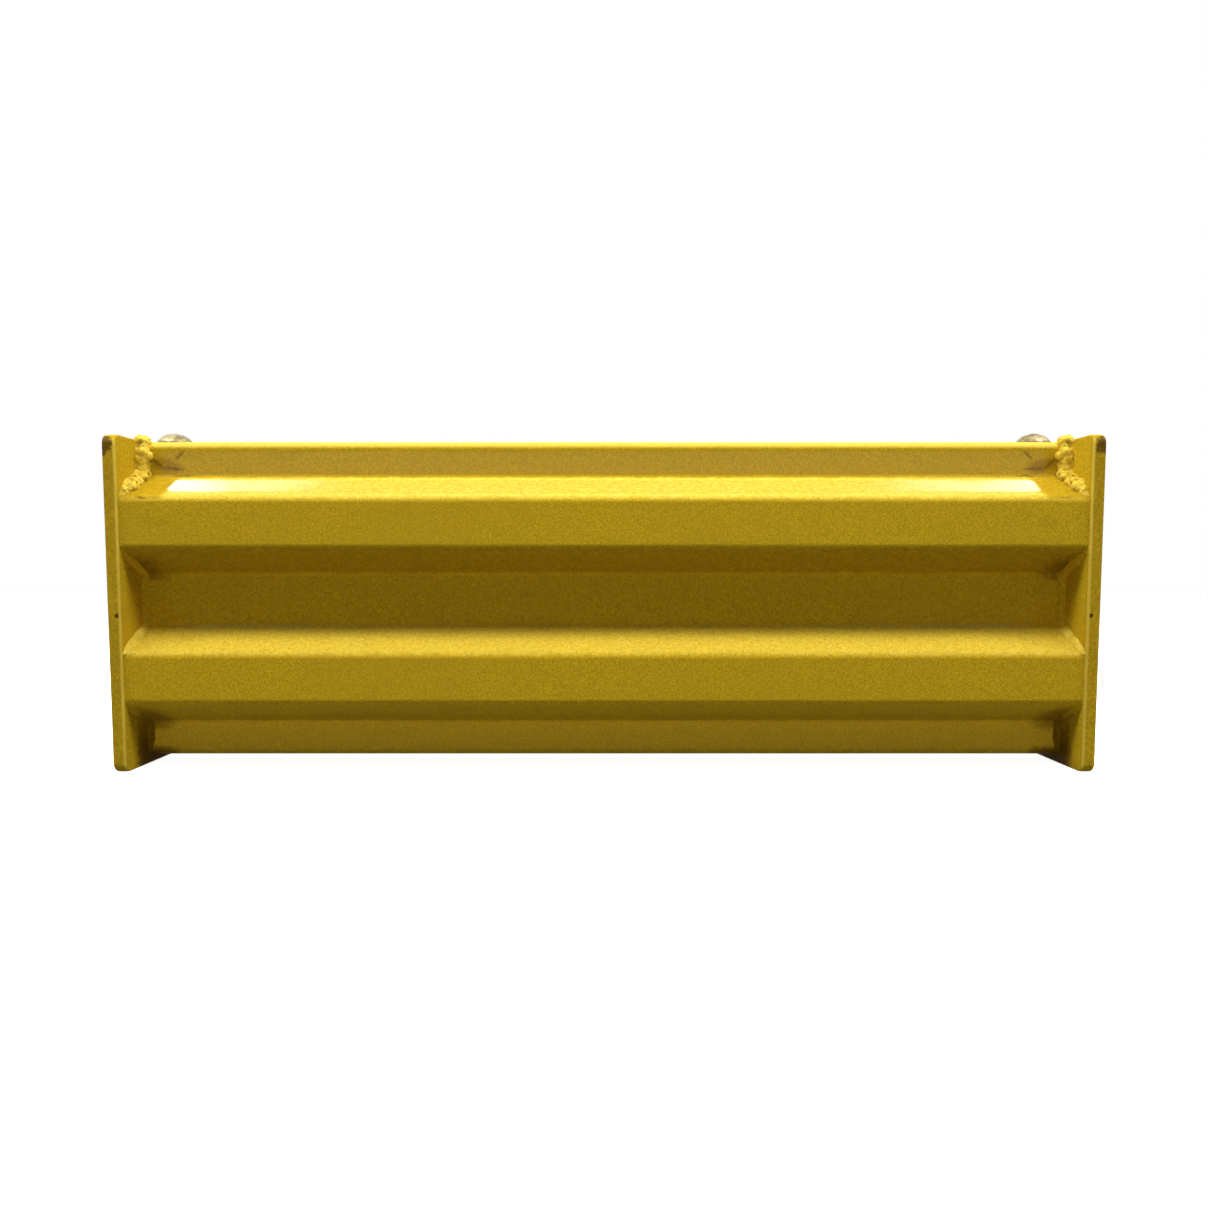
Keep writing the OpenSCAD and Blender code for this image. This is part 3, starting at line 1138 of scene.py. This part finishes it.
# The right one of each pair
lampPairs = {
    "Fill": {
        "place": (2.0, 0, 0.7), "aim": (0, 0, 0.15), "size": (0.6, 0.6), "power": 5, "kind": "soft",
    },
    "Lamp": {
        "place": (1.6, -0.47, 1.6), "aim": (0, 0, 0.2), "size": (0.25, 0.25), "power": 12, "kind": "plain",
    },
    "Glint": {
        "place": (1.10, -0.808, 1.40), "aim": (0.38, 0, 0.29), "size": (0.16, 0.20), "power": 60,
        "kind": "glint",
    },
    "Tail": {
        "place": (0.86, -0.808, 1.40), "aim": (0.30, 0, 0.29), "size": (0.32, 0.06), "power": 10,
        "kind": "glint",
    },
}

view = {
    "distance": 0.760,  # lens to the plates' front edges
    "height": 0.1902,
    "pitch": 3.541,
    "lens": 24.66,
    "sensor": 36.0,
    "shift": 0.0132,
}


def seenRays(tree):
    path = tree.nodes.new("ShaderNodeLightPath")
    first = addMath(tree, "MAXIMUM", path.outputs["Is Camera Ray"], path.outputs["Is Glossy Ray"])
    return addMath(tree, "MAXIMUM", first, path.outputs["Is Transmission Ray"])


def makeFloor():
    deselectAll()
    bpy.ops.mesh.primitive_plane_add(size=stage["floorSize"], location=(0, 0, 0))
    floor = newPiece("studioFloor")
    settle(floor)
    material, tree, shader = newMaterial("studioFloor")
    tree.nodes.remove(shader)
    seen = tree.nodes.new("ShaderNodeBsdfDiffuse")
    seen.inputs["Color"].default_value = stage["floorColour"]
    glow = tree.nodes.new("ShaderNodeEmission")
    glow.inputs["Strength"].default_value = stage["floorGlow"]
    both = tree.nodes.new("ShaderNodeAddShader")
    bounce = tree.nodes.new("ShaderNodeBsdfDiffuse")
    bounce.inputs["Color"].default_value = stage["floorBounce"]
    mix = tree.nodes.new("ShaderNodeMixShader")
    tree.links.new(seenRays(tree), mix.inputs["Fac"])
    tree.links.new(seen.outputs[0], both.inputs[0])
    tree.links.new(glow.outputs[0], both.inputs[1])
    tree.links.new(bounce.outputs[0], mix.inputs[1])
    tree.links.new(both.outputs[0], mix.inputs[2])
    tree.links.new(mix.outputs[0], tree.nodes["Material Output"].inputs["Surface"])
    floor.data.materials.append(material)


def makeWorld():
    world = bpy.data.worlds.new("studioWorld")
    world.use_nodes = True
    scene.world = world
    tree = world.node_tree
    fill = tree.nodes["Background"]
    fill.inputs["Color"].default_value = (1, 1, 1, 1)
    fill.inputs["Strength"].default_value = stage["worldFill"]
    white = tree.nodes.new("ShaderNodeBackground")
    white.inputs["Color"].default_value = (1, 1, 1, 1)
    mix = tree.nodes.new("ShaderNodeMixShader")
    tree.links.new(seenRays(tree), mix.inputs["Fac"])
    tree.links.new(fill.outputs[0], mix.inputs[1])
    tree.links.new(white.outputs[0], mix.inputs[2])
    tree.links.new(mix.outputs[0], tree.nodes["World Output"].inputs["Surface"])


def makeLamp(name, lamp, side=1):
    mirror = Vector((side, 1, 1))
    place = Vector(lamp["place"]) * mirror
    aim = Vector(lamp["aim"]) * mirror - place
    deselectAll()
    bpy.ops.object.light_add(type="AREA", location=place)
    light = bpy.context.active_object
    light.name = name
    light.data.shape = "RECTANGLE"
    light.data.size, light.data.size_y = lamp["size"]
    light.data.energy = lamp["power"]
    light.rotation_euler = aim.to_track_quat("-Z", "Y").to_euler()
    light.visible_diffuse = lamp["kind"] != "glint"
    light.visible_glossy = lamp["kind"] != "soft"


def makeCamera():
    deselectAll()
    bpy.ops.object.camera_add(
        location=(0, plateLow.y - view["distance"], view["height"]),
        rotation=(math.radians(90 - view["pitch"]), 0, 0),
    )
    camera = bpy.context.active_object
    camera.name = "photoCamera"
    camera.data.lens = view["lens"]
    camera.data.sensor_width = view["sensor"]
    camera.data.shift_y = view["shift"]
    scene.camera = camera


print("setting the stage")
makeFloor()
makeWorld()
for lampName, lamp in lamps.items():
    makeLamp(lampName, lamp)
for lampName, lamp in lampPairs.items():
    makeLamp("left" + lampName, lamp, -1)
    makeLamp("right" + lampName, lamp)
makeCamera()
